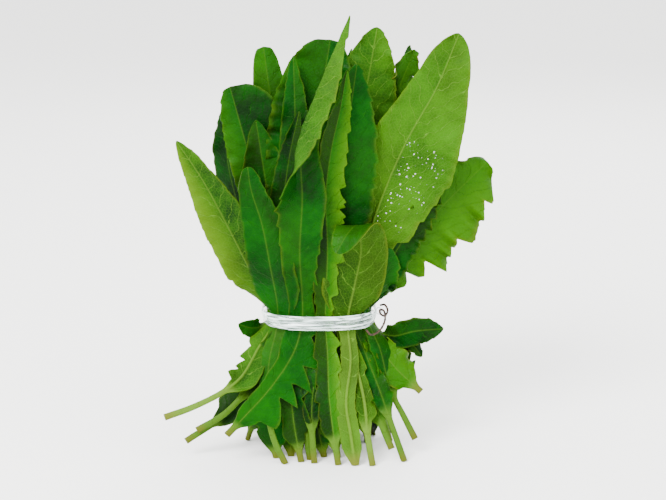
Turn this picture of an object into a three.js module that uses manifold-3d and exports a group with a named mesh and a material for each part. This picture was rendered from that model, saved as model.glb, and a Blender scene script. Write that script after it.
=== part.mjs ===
// A bunch of chicory greens: whole leaves, cut at the foot and held at a third of their height by
// a clear band wound twice, with a small twist of wire where the band's ends meet. The stems splay
// out below the band and are cut level, so the bunch stands on them. Above the band the blades
// fan out.
// Millimetres, +Z up. -Y is the front of the bunch, and the origin is at the middle of its foot.

import * as THREE from "three";
import Module from "manifold-3d";

const wasm = await Module();
wasm.setup();

// Driving dimensions.
const bandHeight = 97; // middle of the band above the surface
const bandHalfWidth = 39.2; // of the round that the band makes, across the bunch
const bandHalfDepth = 34.5; // the same, front to back
const bandStrip = { width: 5.2, thickness: 0.5, lift: 0.9 }; // lift is from one turn to the next
const roundness = 2.6; // exponent of the band's round: 2 is an ellipse, more is squarer
const wireRadius = 0.6;

const stemHalfWidth = 2.3; // at the cut end
const stemThickness = 3.0;
const tipHalfWidth = 0.7;
const ribThicknessAtTip = 0.9;
const bladeThickness = 0.6;
const stemEdgeThickness = 1.7;
const stationCount = 13; // cross-sections along one leaf

const leafGreen = { color: 0x2f8a22, roughness: 0.5, metalness: 0 };
const clearFilm = { color: 0xdfeeee, roughness: 0.12, metalness: 0, transparent: true, opacity: 0.45 };
const rustyWire = { color: 0x6d5136, roughness: 0.6, metalness: 0.6 };

// Leaves that are placed one by one.
// path: the midrib from the cut end to the tip.
// width: across the blade, one number or several at even steps along the leaf.
// low: the share of that width which the part below the band has.
// from: where along the leaf the blade starts.
// peak: higher puts the widest place nearer to the tip.
// hold: the blade's share that stays open in the band.
// face: where the outer side looks, in degrees from the front towards +X, at even steps along
// the leaf; a second number is the angle above the horizon.
// left and right: how far each half is folded outwards, in degrees.
const placedLeaves = [
  {
    name: "leaf_front_folded_sword", width: [24, 24, 23, 27, 34, 36, 34],
    low: 0.85, from: 0.03, peak: 1.25, hold: 0.3,
    path: [[-64, -54, 22], [-50, -53, 37], [-34, -48, 54], [-17.5, -34.5, 77], [-12, -27.6, 97],
      [-13, -45, 150], [-11, -54, 188], [-11, -60, 225], [-2, -64, 266], [21, -60, 313]],
    face: [10, 0, 0], left: [0, 0, 0, 10, 20, 120, 150, 150], right: [0, 5, 5, 5, 5, 5],
  },
  {
    name: "leaf_front_ridged_sword", width: [18, 20, 22, 24], low: 0.6, from: 0.1, peak: 1.1, hold: 0.3,
    path: [[14, -54, -3], [10, -49, 22], [7, -42, 48], [6, -34, 75], [4.5, -30, 97],
      [6, -40, 150], [5, -47, 192], [9, -52, 224], [15, -54, 252], [19, -52, 276]],
    face: [0, 0, 15], left: [0, 10, 35], right: [0, 5, 5],
  },
  {
    name: "leaf_front_flap", width: 38, low: 0.25, from: 0.1, peak: 1.2, hold: 0.4,
    path: [[26, -55, -3], [22, -50, 22], [19, -44, 42], [22, -34, 70], [20, -27, 97],
      [25, -32.5, 125], [29, -36, 148], [28, -43, 163], [26, -52, 170], [23, -59, 164]],
    face: [[0, 0], [0, 0], [10, 0], [5, 0], [0, -90]], left: [0, 0], right: [0, 0],
  },
  {
    name: "leaf_front_small_right", width: 19, low: 0.1, from: 0.2, peak: 1.3, hold: 0.1,
    path: [[68, -31, 12], [60, -30, 28], [50, -28, 48], [43, -23.5, 75], [34.5, -15, 97],
      [44, -25, 128], [48, -30, 150]],
    face: [20, 30, 40, 20], left: [0, 5], right: [0, 5],
  },
  {
    name: "leaf_left_blunt_sword", width: 25, low: 0.3, from: 0.1, peak: 1.25, hold: 0.3,
    path: [[-22, -52, -3], [-32, -47, 18], [-36, -42, 38], [-35, -32, 68], [-29, -20, 97],
      [-34, -37, 141], [-39, -44, 170], [-46, -48, 195], [-48, -49, 210]],
    face: [-10, -30, -30, -10, -5], left: [0, 5], right: [0, 5],
  },
  {
    name: "leaf_left_outer", width: 37, low: 0.6, from: 0.12, peak: 1.15, hold: 0.15,
    path: [[-108, -45, 32], [-88, -43, 39], [-68, -38, 48], [-54, -30, 57], [-43, -19, 74],
      [-31, -12.5, 97], [-50, -24.5, 138], [-65, -30, 170], [-80, -36, 200], [-97, -37, 226]],
    face: [-15, -40, -35, -25, -25], left: [0, 0, 10, 30, 30], right: [0, 5],
  },
  {
    name: "leaf_centre_broad_sword", width: 46, low: 0.2, from: 0.2, peak: 1.4, hold: 0.2,
    path: [[-3, -50, -3], [-5, -44, 25], [-4, -38, 50], [3, -29, 76], [8, -24.5, 97],
      [12, -31, 147], [13, -36, 183], [18, -41, 222], [26, -42, 279]],
    face: [0, 0, 0], left: [0, 5], right: [0, 5],
  },
  {
    name: "leaf_right_broad", width: 59, low: 0.15, from: 0.25, peak: 1.7, hold: 0.15,
    path: [[38, -56, -3], [34, -49, 20], [31, -40, 45], [24, -29, 72], [15, -20.5, 97],
      [29, -26, 141], [41, -30, 179], [60, -33, 225], [80, -35, 262], [95, -35, 299]],
    face: [10, 10, 5, 0], left: [0, 5], right: [0, 5],
  },
  {
    name: "leaf_centre_left_dark", width: 20, low: 0.3, from: 0.15, peak: 1.3, hold: 0.15,
    path: [[-12, -47, -3], [-18, -42, 30], [-20, -33, 66], [-16, -24.5, 97],
      [-23, -33, 140], [-24, -37, 180], [-20, -41, 215], [-13, -43, 247]],
    face: [0, -10, -10], left: [0, 10], right: [0, 10],
  },
  {
    name: "leaf_left_pointed", width: 29, low: 0.2, from: 0.15, peak: 1.45, hold: 0.15,
    path: [[-30, -38, -3], [-33, -36, 25], [-30, -29, 58], [-25, -24, 80], [-21.5, -20.5, 97],
      [-26.5, -23.5, 140], [-35, -27, 186], [-43, -28, 239]],
    face: [-10, -20, -5, -5], left: [0, 12], right: [0, 5],
  },
  {
    name: "leaf_top_left_slim", width: 22, low: 0.3, from: 0.15, peak: 1.5, hold: 0.15,
    path: [[-6, -42, -3], [-10, -40, 30], [-9, -33, 66], [-7.5, -24.5, 97],
      [-12, -29.5, 150], [-16, -32.5, 200], [-16, -35, 240], [-17, -36, 284]],
    face: [0, 0, -5], left: [0, 8], right: [0, 8],
  },
  {
    name: "leaf_top_centre_dark", width: 40, low: 0.2, from: 0.2, peak: 1.7, hold: 0.1,
    path: [[4, -36, -3], [-2, -32, 30], [-4, -26, 66], [-4, -19, 97],
      [-5, -23.5, 150], [-4, -25.5, 200], [1, -27, 250], [8, -28, 302]],
    face: [0, 0, -5], left: [0, 4], right: [0, 4],
  },
  {
    name: "leaf_top_right_veined", width: 42, low: 0.2, from: 0.2, peak: 1.75, hold: 0.1,
    path: [[14, -38, -3], [8, -33, 30], [7, -26, 66], [6, -18.5, 97],
      [13, -19, 150], [22, -20, 200], [32, -21, 255], [40, -21, 308]],
    face: [0, 0, 5], left: [0, 2], right: [0, 2],
  },
  {
    name: "leaf_top_right_curled", width: 24, low: 0.2, from: 0.2, peak: 1.6, hold: 0.1,
    path: [[51, -45, 9], [44, -39, 25], [37, -31, 48], [28, -22, 72], [18.5, -14, 97],
      [30, -14, 150], [40, -14, 200], [52, -14, 250], [66, -15, 286]],
    face: [15, 10, 10], left: [0, 5], right: [0, 5],
  },
  {
    name: "leaf_top_left_round", width: 21, low: 0.2, from: 0.2, peak: 1.9, hold: 0.1,
    path: [[-20, -34, -3], [-20, -30, 30], [-16, -24, 66], [-13, -16.5, 97],
      [-18, -14.5, 140], [-24, -14, 180], [-31, -14, 235], [-38, -14, 296]],
    face: [0, -5, 0], left: [0, 4], right: [0, 4],
  },
  {
    name: "leaf_top_left_lean", width: 36, low: 0.2, from: 0.2, peak: 1.5, hold: 0.1,
    path: [[-86, -40, 21], [-66, -35, 32], [-47, -27, 52], [-32, -19, 76], [-22, -15, 97],
      [-28, -18, 140], [-38, -19, 180], [-50, -20, 220], [-62, -20, 268]],
    face: [-20, -10, -5, -5], left: [0, 15], right: [0, 3],
  },
  {
    name: "leaf_left_dark", width: 25, low: 0.3, from: 0.15, peak: 1.4, hold: 0.1,
    path: [[-94, -37, 12], [-66, -28, 30], [-44, -15, 60], [-28, -7.5, 97],
      [-42, -8, 135], [-55, -7, 170], [-64, -8, 210], [-63, -9, 251]],
    face: [-25, -30, -30, -30], left: [0, 5], right: [0, 5],
  },
  {
    name: "leaf_right_lean_dark", width: 27, low: 0.2, from: 0.2, peak: 1.5, hold: 0.15,
    path: [[61, -46, -3], [51, -41, 25], [42, -34, 50], [33, -25, 72], [25, -17, 97],
      [45, -19, 130], [60, -21, 156], [73, -23, 176], [83, -24, 192]],
    face: [15, 15, 10], left: [0, 3], right: [0, 3],
  },
  {
    name: "leaf_right_ragged", width: 54, low: 0.3, from: 0.3, peak: 1.9, hold: 0.1,
    path: [[72, -29, 46], [54, -24, 62], [40, -17, 80], [30, -9.5, 97],
      [55, -12, 139], [84, -14, 174], [117, -15, 208]],
    face: [30, 30, 15, 5], left: [0, 3], right: [0, 3],
  },
  {
    name: "leaf_right_low_sideways", width: 20, low: 1, from: 0.25, peak: 1.3, hold: 0.1,
    path: [[34.5, -2, 109], [35.5, -3, 97], [40, -9, 86], [52, -18, 84], [68, -28, 90], [87, -33, 93]],
    face: [60, 60, 0, 0], left: [0, 5], right: [0, 5],
  },
  {
    name: "leaf_right_low_small", width: 14, low: 1, from: 0.5, peak: 1.2, hold: 0.1,
    path: [[35, 6, 108], [35.5, 5, 97], [42, 0, 84], [54, -7, 78], [66, -13, 76], [73, -16, 68]],
    face: [80, 80, 20, 20], left: [0, 10], right: [0, 10],
  },
  {
    name: "leaf_right_low_torn", width: 26, low: 1, from: 0.4, peak: 1.3, hold: 0.1,
    path: [[34, 13, 102.5], [34, 12.5, 97], [40, 8, 84], [49, 2, 70], [58, -5, 60], [67, -10, 50]],
    face: [70, 60, 30, 20], left: [0, 5], right: [0, 5],
  },
  {
    name: "leaf_left_low_tip", width: 13, low: 1, from: 0.4, peak: 1.2, hold: 0.1,
    path: [[-32, 2, 107], [-34, 1, 97], [-39, -4, 89], [-47, -11, 88], [-57, -17, 92]],
    face: [-80, -70, -20, 0], left: [0, 10], right: [0, 10],
  },
];

// Leaves of the middle and the back stand in rings, the outermost first: how many, how far out
// (1 is the outermost), and the turn of the first one as a share of the step between two.
const backRings = [
  { count: 12, reach: 1, start: 0.45 },
  { count: 9, reach: 0.74, start: 0.25 },
  { count: 6, reach: 0.48, start: 0.1 },
  { count: 2, reach: 0.2, start: 0 },
];
const backLeafWidth = 30;
const backLeafTurn = 16; // each leaf's left edge goes under its neighbour's right one

// Half the width and depth of the round that the back leaves fill, and where its middle is, at a height.
function backRound(z) {
  const above = Math.max(0, z - bandHeight - 7);
  const below = Math.max(0, bandHeight - z);
  const spread = 1 - Math.exp(-above / 80);
  return {
    halfWidth: 28 + 58 * spread + 26 * Math.pow(below / bandHeight, 1.2),
    halfDepth: 19 + 38 * spread + 0.2 * below,
    right: 8 * spread,
    back: 9.5 + 36 * spread + 0.03 * below,
  };
}

// Leaf k of a ring. It is bent round the middle of the bunch.
function backLeaf(ring, k, number) {
  const angle = ((k + ring.start) / ring.count) * 2 * Math.PI;
  const [cos, sin] = [Math.cos(angle), Math.sin(angle)];
  const at = (z) => {
    const { halfWidth, halfDepth, right, back } = backRound(z);
    return [right + ring.reach * halfWidth * cos, back + ring.reach * halfDepth * sin, z];
  };
  const foot = number % 3 === 2 ? 6 + 5 * (number % 4) : -3;
  const tip = 270 - 22 * ring.reach ** 2 + 24 * ring.reach * cos + 9 * Math.sin(number * 2.1);
  const { halfWidth, halfDepth } = backRound(170);
  const outward = THREE.MathUtils.radToDeg(Math.atan2(cos / halfWidth, -sin / halfDepth));
  const sideways = Math.hypot(halfWidth * sin, halfDepth * cos);
  const bendRadius = (ring.reach * Math.pow(sideways, 3)) / (halfWidth * halfDepth);
  const wrap = -Math.min(38, THREE.MathUtils.radToDeg((0.6 * backLeafWidth) / 2 / bendRadius));
  return {
    name: `leaf_back_${String(number).padStart(2, "0")}`,
    width: backLeafWidth * (0.97 + 0.08 * Math.sin(number * 3.3)),
    low: 0.25, from: 0.12, peak: 1.45, hold: 0.1,
    path: [foot, 48, 76, bandHeight, 140, 190, tip].map(at),
    face: [outward + backLeafTurn, outward + backLeafTurn], left: [0, wrap, wrap], right: [0, wrap, wrap],
  };
}

// Reads a list of numbers or vectors, set at even steps from 0 to 1, at t.
function readAt(list, t) {
  const place = Math.min(t, 1) * (list.length - 1);
  const i = Math.min(Math.floor(place), list.length - 2);
  return list[i] + (list[i + 1] - list[i]) * (place - i);
}

// The outward direction that a leaf asks for at t, from angles round the bunch and above the horizon.
function facingAt(face, t) {
  const turned = face.map((f) => (Array.isArray(f) ? f : [f, 0]));
  const azimuth = THREE.MathUtils.degToRad(readAt(turned.map((f) => f[0]), t));
  const rise = THREE.MathUtils.degToRad(readAt(turned.map((f) => f[1]), t));
  return new THREE.Vector3(
    Math.sin(azimuth) * Math.cos(rise), -Math.cos(azimuth) * Math.cos(rise), Math.sin(rise));
}

// Half the leaf's width at t along it and z above the surface: a stem, then a blade that the band gathers.
function halfWidthAt(leaf, t, z) {
  const stem = THREE.MathUtils.lerp(stemHalfWidth, tipHalfWidth, t);
  const blade = (Array.isArray(leaf.width) ? readAt(leaf.width, t) : leaf.width) / 2 - stem;
  const along = THREE.MathUtils.clamp((t - leaf.from) / (1 - leaf.from), 0, 1);
  const outline = Math.pow(Math.sin(Math.PI * Math.pow(along, leaf.peak)), 0.8);
  const aboveBand = THREE.MathUtils.smoothstep(z, bandHeight - 5, bandHeight + 40);
  const share = THREE.MathUtils.lerp(leaf.low, 1, aboveBand);
  const gathered = Math.exp(-Math.pow((z - bandHeight) / 20, 2));
  return stem + Math.max(0, blade) * outline * share * (1 - (1 - leaf.hold) * gathered);
}

// Joins rings of points, all of one length, into a closed skin with both ends capped.
function skin(rings, cap) {
  const size = rings[0].length;
  const points = rings.flat().flatMap((p) => p.toArray());
  const faces = [];
  for (let i = 0; i + 1 < rings.length; i++) {
    for (let k = 0; k < size; k++) {
      const [a, b] = [i * size + k, i * size + ((k + 1) % size)];
      faces.push(a, b, a + size, b, b + size, a + size);
    }
  }
  const last = (rings.length - 1) * size;
  for (const [a, b, c] of cap) faces.push(a, c, b, last + a, last + b, last + c);
  const geometry = new THREE.BufferGeometry();
  geometry.setAttribute("position", new THREE.Float32BufferAttribute(points, 3));
  geometry.setIndex(faces);
  return geometry;
}

// A leaf's solid: two folded halves on each side of a rib, thicker at the rib than at the edge.
function leafGeometry(leaf) {
  const curve = new THREE.CatmullRomCurve3(leaf.path.map((p) => new THREE.Vector3(...p)));
  const rings = [];
  for (let i = 0; i < stationCount; i++) {
    const t = i / (stationCount - 1);
    const middle = curve.getPointAt(t);
    const along = curve.getTangentAt(t);
    const facing = facingAt(leaf.face, t);
    const out = facing.addScaledVector(along, -facing.dot(along)).normalize();
    const across = new THREE.Vector3().crossVectors(along, out);
    const half = halfWidthAt(leaf, t, middle.z);
    const ribHalf = THREE.MathUtils.lerp(stemThickness, ribThicknessAtTip, t) / 2;
    const open = THREE.MathUtils.clamp((half - stemHalfWidth) / 4, 0, 1);
    const edgeHalf = THREE.MathUtils.lerp(stemEdgeThickness, bladeThickness, open) / 2;
    const upper = [];
    const lower = [];
    // One column of the section: its place and its own outward direction.
    const column = (place, normal, halfThickness) => {
      upper.push(place.clone().addScaledVector(normal, halfThickness));
      lower.unshift(place.clone().addScaledVector(normal, -halfThickness));
    };
    const wing = (side, degrees) => {
      const angle = THREE.MathUtils.degToRad(degrees);
      const sections = [[0.28, angle / 2], [0.72, angle]]; // share of the half's width, and its slope
      let place = middle.clone();
      return sections.map(([share, slope], k) => {
        place = place.clone().addScaledVector(across, side * half * share * Math.cos(slope))
          .addScaledVector(out, half * share * Math.sin(slope));
        const normalSlope = k === 0 ? 0.75 * angle : angle;
        const normal = out.clone().multiplyScalar(Math.cos(normalSlope))
          .addScaledVector(across, -side * Math.sin(normalSlope));
        return [place, normal, k === 0 ? (ribHalf + 2 * edgeHalf) / 3 : edgeHalf];
      });
    };
    const leftWing = wing(-1, readAt(leaf.left, t));
    const rightWing = wing(1, readAt(leaf.right, t));
    column(...leftWing[1]);
    column(...leftWing[0]);
    column(middle, out, ribHalf);
    column(...rightWing[0]);
    column(...rightWing[1]);
    rings.push([...upper, ...lower]);
  }
  const cap = [[0, 1, 8], [0, 8, 9], [1, 2, 7], [1, 7, 8], [2, 3, 6], [2, 6, 7], [3, 4, 5], [3, 5, 6]];
  return skin(rings, cap);
}

// The solid above the surface, with a flat cut at height 0.
function cutLevel(geometry) {
  const solidOf = (g) => new wasm.Manifold(new wasm.Mesh({
    numProp: 3,
    vertProperties: new Float32Array(g.getAttribute("position").array),
    triVerts: new Uint32Array(g.index.array),
  }));
  const depth = 20;
  const corners = [[-300, -300], [300, -300], [300, 300], [-300, 300]];
  const layers = [-depth, 0].map((z) => corners.map(([x, y]) => new THREE.Vector3(x, y, z)));
  const ground = skin(layers, [[0, 1, 2], [0, 2, 3]]);
  const mesh = solidOf(geometry).subtract(solidOf(ground)).getMesh();
  const cut = new THREE.BufferGeometry();
  cut.setAttribute("position", new THREE.BufferAttribute(new Float32Array(mesh.vertProperties), 3));
  cut.setIndex(new THREE.BufferAttribute(new Uint32Array(mesh.triVerts), 1));
  return cut;
}

// A point on the band's round, pushed outwards by grow.
function onBandRound(angle, grow) {
  const bend = (v) => Math.sign(v) * Math.pow(Math.abs(v), 2 / roundness);
  return [(bandHalfWidth + grow) * bend(Math.cos(angle)), (bandHalfDepth + grow) * bend(Math.sin(angle))];
}

// The band: one strip wound twice, the second turn outside the first and higher, most so on the right.
function bandGeometry() {
  const stepsPerTurn = 40;
  const start = THREE.MathUtils.degToRad(-12);
  const rings = [];
  for (let i = 0; i <= 2 * stepsPerTurn; i++) {
    const angle = start + (i / stepsPerTurn) * 2 * Math.PI;
    const second = THREE.MathUtils.smoothstep(i, 0.92 * stepsPerTurn, 1.08 * stepsPerTurn);
    const apart = 5.3 + 0.8 * Math.cos(angle);
    const z = bandHeight + (second - 0.5) * apart;
    const grow = (i / stepsPerTurn) * bandStrip.lift;
    const inner = onBandRound(angle, grow);
    const outer = onBandRound(angle, grow + bandStrip.thickness);
    const low = z - bandStrip.width / 2;
    const high = z + bandStrip.width / 2;
    rings.push([
      new THREE.Vector3(...inner, low), new THREE.Vector3(...outer, low),
      new THREE.Vector3(...outer, high), new THREE.Vector3(...inner, high),
    ].reverse());
  }
  return skin(rings, [[0, 1, 2], [0, 2, 3]]);
}

// The wire: a small ring twisted shut beside the band's ends, with a tail that hooks down and back up.
function wireGeometry() {
  const route = [[43.5, -9, 104], [46.5, -12, 105], [48.5, -14, 101.5], [46.5, -16, 98], [43.5, -17, 99.5],
    [43, -19, 103], [45.5, -21, 103], [46.5, -22, 97], [42.5, -27, 90], [36.5, -31, 88], [33, -33, 92]];
  const curve = new THREE.CatmullRomCurve3(route.map((p) => new THREE.Vector3(...p)));
  const section = new THREE.Shape();
  section.absarc(0, 0, wireRadius, 0, 2 * Math.PI);
  const geometry = new THREE.ExtrudeGeometry(section, { steps: 48, curveSegments: 4, extrudePath: curve });
  return geometry;
}

const bunch = new THREE.Group();

function addPiece(name, geometry, material) {
  const mesh = new THREE.Mesh(geometry, new THREE.MeshStandardMaterial(material));
  mesh.name = name;
  bunch.add(mesh);
}

const backLeaves = [];
for (const ring of backRings) {
  for (let k = 0; k < ring.count; k++) backLeaves.push(backLeaf(ring, k, backLeaves.length + 1));
}
for (const leaf of [...placedLeaves, ...backLeaves]) {
  addPiece(leaf.name, cutLevel(leafGeometry(leaf)), leafGreen);
}
addPiece("clear_band", bandGeometry(), clearFilm);
addPiece("twist_wire", wireGeometry(), rustyWire);

// The origin goes to the middle of the foot.
const box = new THREE.Box3().setFromObject(bunch);
const middle = box.getCenter(new THREE.Vector3());
bunch.position.set(-middle.x, -middle.y, -box.min.z);

export default bunch;
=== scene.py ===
# A bunch of chicory greens, standing on its splayed cut stems and held by a clear band wound twice.
# Each leaf is one sheet on a midrib line, given its thickness afterwards. Lengths are in millimetres until a
# mesh is written, and -Y is the front.
import math
import bpy
import numpy as np
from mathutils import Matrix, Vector


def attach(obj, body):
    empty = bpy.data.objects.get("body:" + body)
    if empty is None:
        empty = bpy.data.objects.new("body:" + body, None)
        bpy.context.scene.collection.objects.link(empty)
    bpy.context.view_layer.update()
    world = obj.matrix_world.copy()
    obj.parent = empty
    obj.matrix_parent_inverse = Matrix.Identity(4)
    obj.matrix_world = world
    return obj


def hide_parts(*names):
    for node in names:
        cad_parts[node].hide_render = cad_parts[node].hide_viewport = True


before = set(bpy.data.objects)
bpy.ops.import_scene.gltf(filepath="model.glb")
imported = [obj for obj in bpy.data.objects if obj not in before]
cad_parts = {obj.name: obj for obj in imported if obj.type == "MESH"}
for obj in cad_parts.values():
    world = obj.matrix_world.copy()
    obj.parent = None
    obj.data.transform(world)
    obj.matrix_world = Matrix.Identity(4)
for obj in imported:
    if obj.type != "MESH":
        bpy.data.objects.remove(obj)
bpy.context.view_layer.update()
print("frame loaded:", len(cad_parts), "nodes")

millimetre = 0.001
# Where the frame's middle lies, in the coordinates of the lines below.
middleOfFoot = np.array([4.508, 7.932, 0.0])


def hexColour(code):
    # sRGB hex to linear
    parts = [int(code[i:i + 2], 16) / 255 for i in (1, 3, 5)]
    return tuple(c / 12.92 if c <= 0.04045 else ((c + 0.055) / 1.055) ** 2.4 for c in parts) + (1.0,)


def newMaterial(name):
    material = bpy.data.materials.new(name)
    material.use_nodes = True
    material.node_tree.nodes.clear()
    return material


def addNode(material, kind, settings=None, inputs=None):
    # settings: the node's own choices; inputs: for each socket a value, or the (node, output) linked to it
    node = material.node_tree.nodes.new("ShaderNode" + kind)
    for key, value in (settings or {}).items():
        setattr(node, key, value)
    for key, value in (inputs or {}).items():
        if isinstance(value, tuple) and isinstance(value[0], bpy.types.Node):
            material.node_tree.links.new(value[0].outputs[value[1]], node.inputs[key])
        else:
            node.inputs[key].default_value = value
    return node


# Settings that many nodes share. A range runs from inputs 1 and 2 to inputs 3 and 4, and a colour mix has its
# factor at input 0, its colours at 6 and 7 and its result at output 2.
absolute = {"operation": "ABSOLUTE"}
multiply = {"operation": "MULTIPLY"}
multiplyAdd = {"operation": "MULTIPLY_ADD"}
softRange = {"interpolation_type": "SMOOTHSTEP"}
colourMix = {"data_type": "RGBA"}

# A fresh leaf, as grown. The leaf map runs in tenths of a metre: across from the rib, and along it.
leafLook = {
    "veinGap": 0.13,        # 13 mm between side veins
    "veinLean": 0.8,        # how far up the leaf a side vein runs for each step outwards
    "veinCurve": 2.6,       # how much more steeply it climbs near the margin
    "veinWander": 0.16,     # it strays by a few millimetres
    "wanderScale": 9.0,     # over about 11 mm
    "netCell": 0.022,       # 2.2 mm meshes of the fine vein net
    "netShare": 0.35,       # how strongly the net shows beside the side veins
    "patches": 34.0,        # colour patches about 30 mm long, per metre
    "patchContrast": 2.1,
    "grain": 900.0,         # bumps of about 1 mm, per metre: a leaf's own are finer and wouldn't show
    "worn": "#604619",      # dried edges and cut ends
    "glow": 0.22,           # share of the light that comes through from behind
}
# The upper side is waxy and dark, with sunk veins that hardly differ in colour.
upperSide = {"dark": "#001900", "light": "#034b00", "yellow": "#376500", "vein": "#1c5803", "rib": "#446616",
             "veinShare": 0.22, "roughness": 0.4, "raised": -1.0}
# The underside is paler and matt, with raised veins that are paler still.
underSide = {"dark": "#032800", "light": "#2f6303", "yellow": "#4e6f03", "vein": "#547b23", "rib": "#587623",
             "veinShare": 0.6, "roughness": 0.52, "raised": 1.0}


def leafMaterial(name, look):
    m, grown = newMaterial(name), leafLook
    colour = {key: hexColour(look[key]) for key in ("dark", "light", "yellow", "vein", "rib")}
    uv = addNode(m, "UVMap", {"uv_map": "leafMap"})
    parts = addNode(m, "SeparateXYZ", inputs={0: (uv, 0)})
    tone = addNode(m, "Attribute", {"attribute_name": "tone"})
    tones = addNode(m, "SeparateColor", inputs={0: (tone, "Color")})
    place = addNode(m, "TexCoord")

    # side veins, one for each whole step of "along", and the net between them
    out = addNode(m, "Math", absolute, {0: (parts, 0)})
    wander = addNode(m, "TexNoise", inputs={"Vector": (uv, 0), "Scale": grown["wanderScale"], "Detail": 2.0})
    strayed = addNode(m, "Math", multiplyAdd, {0: (wander, 0), 1: grown["veinWander"], 2: (parts, 1)})
    leant = addNode(m, "Math", multiplyAdd, {0: (out, 0), 1: -grown["veinLean"], 2: (strayed, 0)})
    square = addNode(m, "Math", multiply, {0: (out, 0), 1: (out, 0)})
    along = addNode(m, "Math", multiplyAdd, {0: (square, 0), 1: -grown["veinCurve"], 2: (leant, 0)})
    steps = addNode(m, "Math", {"operation": "DIVIDE"}, {0: (along, 0), 1: grown["veinGap"]})
    step = addNode(m, "Math", {"operation": "FRACT"}, {0: (steps, 0)})
    beside = addNode(m, "Math", {"operation": "SUBTRACT"}, {0: (step, 0), 1: 0.5})
    off = addNode(m, "Math", absolute, {0: (beside, 0)})
    sideVein = addNode(m, "MapRange", softRange, {0: (off, 0), 1: 0.045, 2: 0.0, 3: 0.0, 4: 1.0})
    net = addNode(m, "TexVoronoi", {"feature": "DISTANCE_TO_EDGE", "voronoi_dimensions": "2D"},
                  {"Vector": (uv, 0), "Scale": 1 / grown["netCell"]})
    netLine = addNode(m, "MapRange", softRange, {0: (net, 0), 1: 0.13, 2: 0.0, 3: 0.0, 4: 1.0})

    # colour: mottled green, yellowed, then the veins, the rib and the wear over it
    patches = addNode(m, "TexNoise", inputs={
        "Vector": (place, "Object"), "Scale": grown["patches"], "Detail": 6.0, "Roughness": 0.7})
    contrast = grown["patchContrast"]
    mottle = addNode(m, "Math", multiplyAdd, {0: (patches, 0), 1: contrast, 2: -contrast / 2})
    # the lightness from the tone is added to the mottle; on the ridged sword it carries painted shade and
    # painted light on its wings
    lightness = addNode(m, "Math", {"operation": "ADD", "use_clamp": True}, {0: (mottle, 0), 1: (tones, 1)})
    base = addNode(m, "Mix", colourMix, {0: (lightness, 0), 6: colour["dark"], 7: colour["light"]})
    warm = addNode(m, "Mix", colourMix, {0: (tone, "Alpha"), 6: (base, 2), 7: colour["yellow"]})
    netTint = addNode(m, "Math", multiply, {0: (netLine, 0), 1: grown["netShare"] * look["veinShare"]})
    netted = addNode(m, "Mix", colourMix, {0: (netTint, 0), 6: (warm, 2), 7: colour["vein"]})
    veinTint = addNode(m, "Math", multiply, {0: (sideVein, 0), 1: look["veinShare"]})
    veined = addNode(m, "Mix", colourMix, {0: (veinTint, 0), 6: (netted, 2), 7: colour["vein"]})
    ribbed = addNode(m, "Mix", colourMix, {0: (tones, 0), 6: (veined, 2), 7: colour["rib"]})
    worn = addNode(m, "Mix", colourMix, {0: (tones, 2), 6: (ribbed, 2), 7: hexColour(grown["worn"])})

    # relief: veins up or down, with a fine grain
    veinRelief = addNode(m, "Math", multiply, {0: (sideVein, 0), 1: look["raised"]})
    relief = addNode(m, "Math", multiplyAdd, {
        0: (netLine, 0), 1: grown["netShare"] * look["raised"], 2: (veinRelief, 0)})
    grain = addNode(m, "TexNoise", inputs={
        "Vector": (place, "Object"), "Scale": grown["grain"], "Detail": 2.0})
    height = addNode(m, "Math", multiplyAdd, {0: (grain, 0), 1: 0.25, 2: (relief, 0)})
    bump = addNode(m, "Bump", inputs={"Strength": 0.7, "Distance": 0.0005, "Height": (height, 0)})

    shine = addNode(m, "MapRange", softRange, {
        0: (patches, 0), 1: 0.3, 2: 0.7, 3: look["roughness"] - 0.05, 4: look["roughness"] + 0.08})
    surface = addNode(m, "BsdfPrincipled", inputs={
        "Base Color": (worn, 2), "Roughness": (shine, 0), "IOR": 1.42, "Specular IOR Level": 0.07,
        "Normal": (bump, 0)})
    behind = addNode(m, "BsdfTranslucent", inputs={"Color": (worn, 2), "Normal": (bump, 0)})
    mixed = addNode(m, "MixShader", inputs={0: grown["glow"], 1: (surface, 0), 2: (behind, 0)})
    addNode(m, "OutputMaterial", inputs={0: (mixed, 0)})
    return m


def filmMaterial():
    # Soft PVC film, rolled: clear and slightly blue, with a glossy coat and stretch wrinkles. Its bright
    # streaks are painted highlights: where a wrinkle rises the film is painted white and nearly opaque.
    m = newMaterial("pvc_film_rolled_clear")
    uv = addNode(m, "UVMap", {"uv_map": "UVMap"})
    stretch = addNode(m, "Mapping", inputs={"Vector": (uv, 0), "Scale": (4.0, 34.0, 1.0)})
    wrinkle = addNode(m, "TexNoise", inputs={
        "Vector": (stretch, 0), "Scale": 1.0, "Detail": 3.0, "Distortion": 0.3})
    bump = addNode(m, "Bump", inputs={"Strength": 0.35, "Distance": 0.0005, "Height": (wrinkle, 0)})
    haze = addNode(m, "MapRange", softRange, {0: (wrinkle, 0), 1: 0.45, 2: 0.8, 3: 0.05, 4: 0.25})
    # painted highlight: white and nearly opaque where the wrinkles rise, clear blue-green between them
    paintedHighlightCover = addNode(m, "MapRange", softRange, {0: (wrinkle, 0), 1: 0.42, 2: 0.64, 3: 0.1, 4: 0.95})
    filmColourAndPaintedHighlight = addNode(m, "Mix", colourMix, {0: (wrinkle, 0), 6: hexColour("#9fd0c8"), 7: hexColour("#ffffff")})
    surface = addNode(m, "BsdfPrincipled", inputs={
        "Base Color": (filmColourAndPaintedHighlight, 2), "Roughness": (haze, 0), "Alpha": (paintedHighlightCover, 0), "IOR": 1.5,
        "Coat Weight": 0.6, "Coat Roughness": 0.08, "Normal": (bump, 0)})
    addNode(m, "OutputMaterial", inputs={0: (surface, 0)})
    return m


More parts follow.
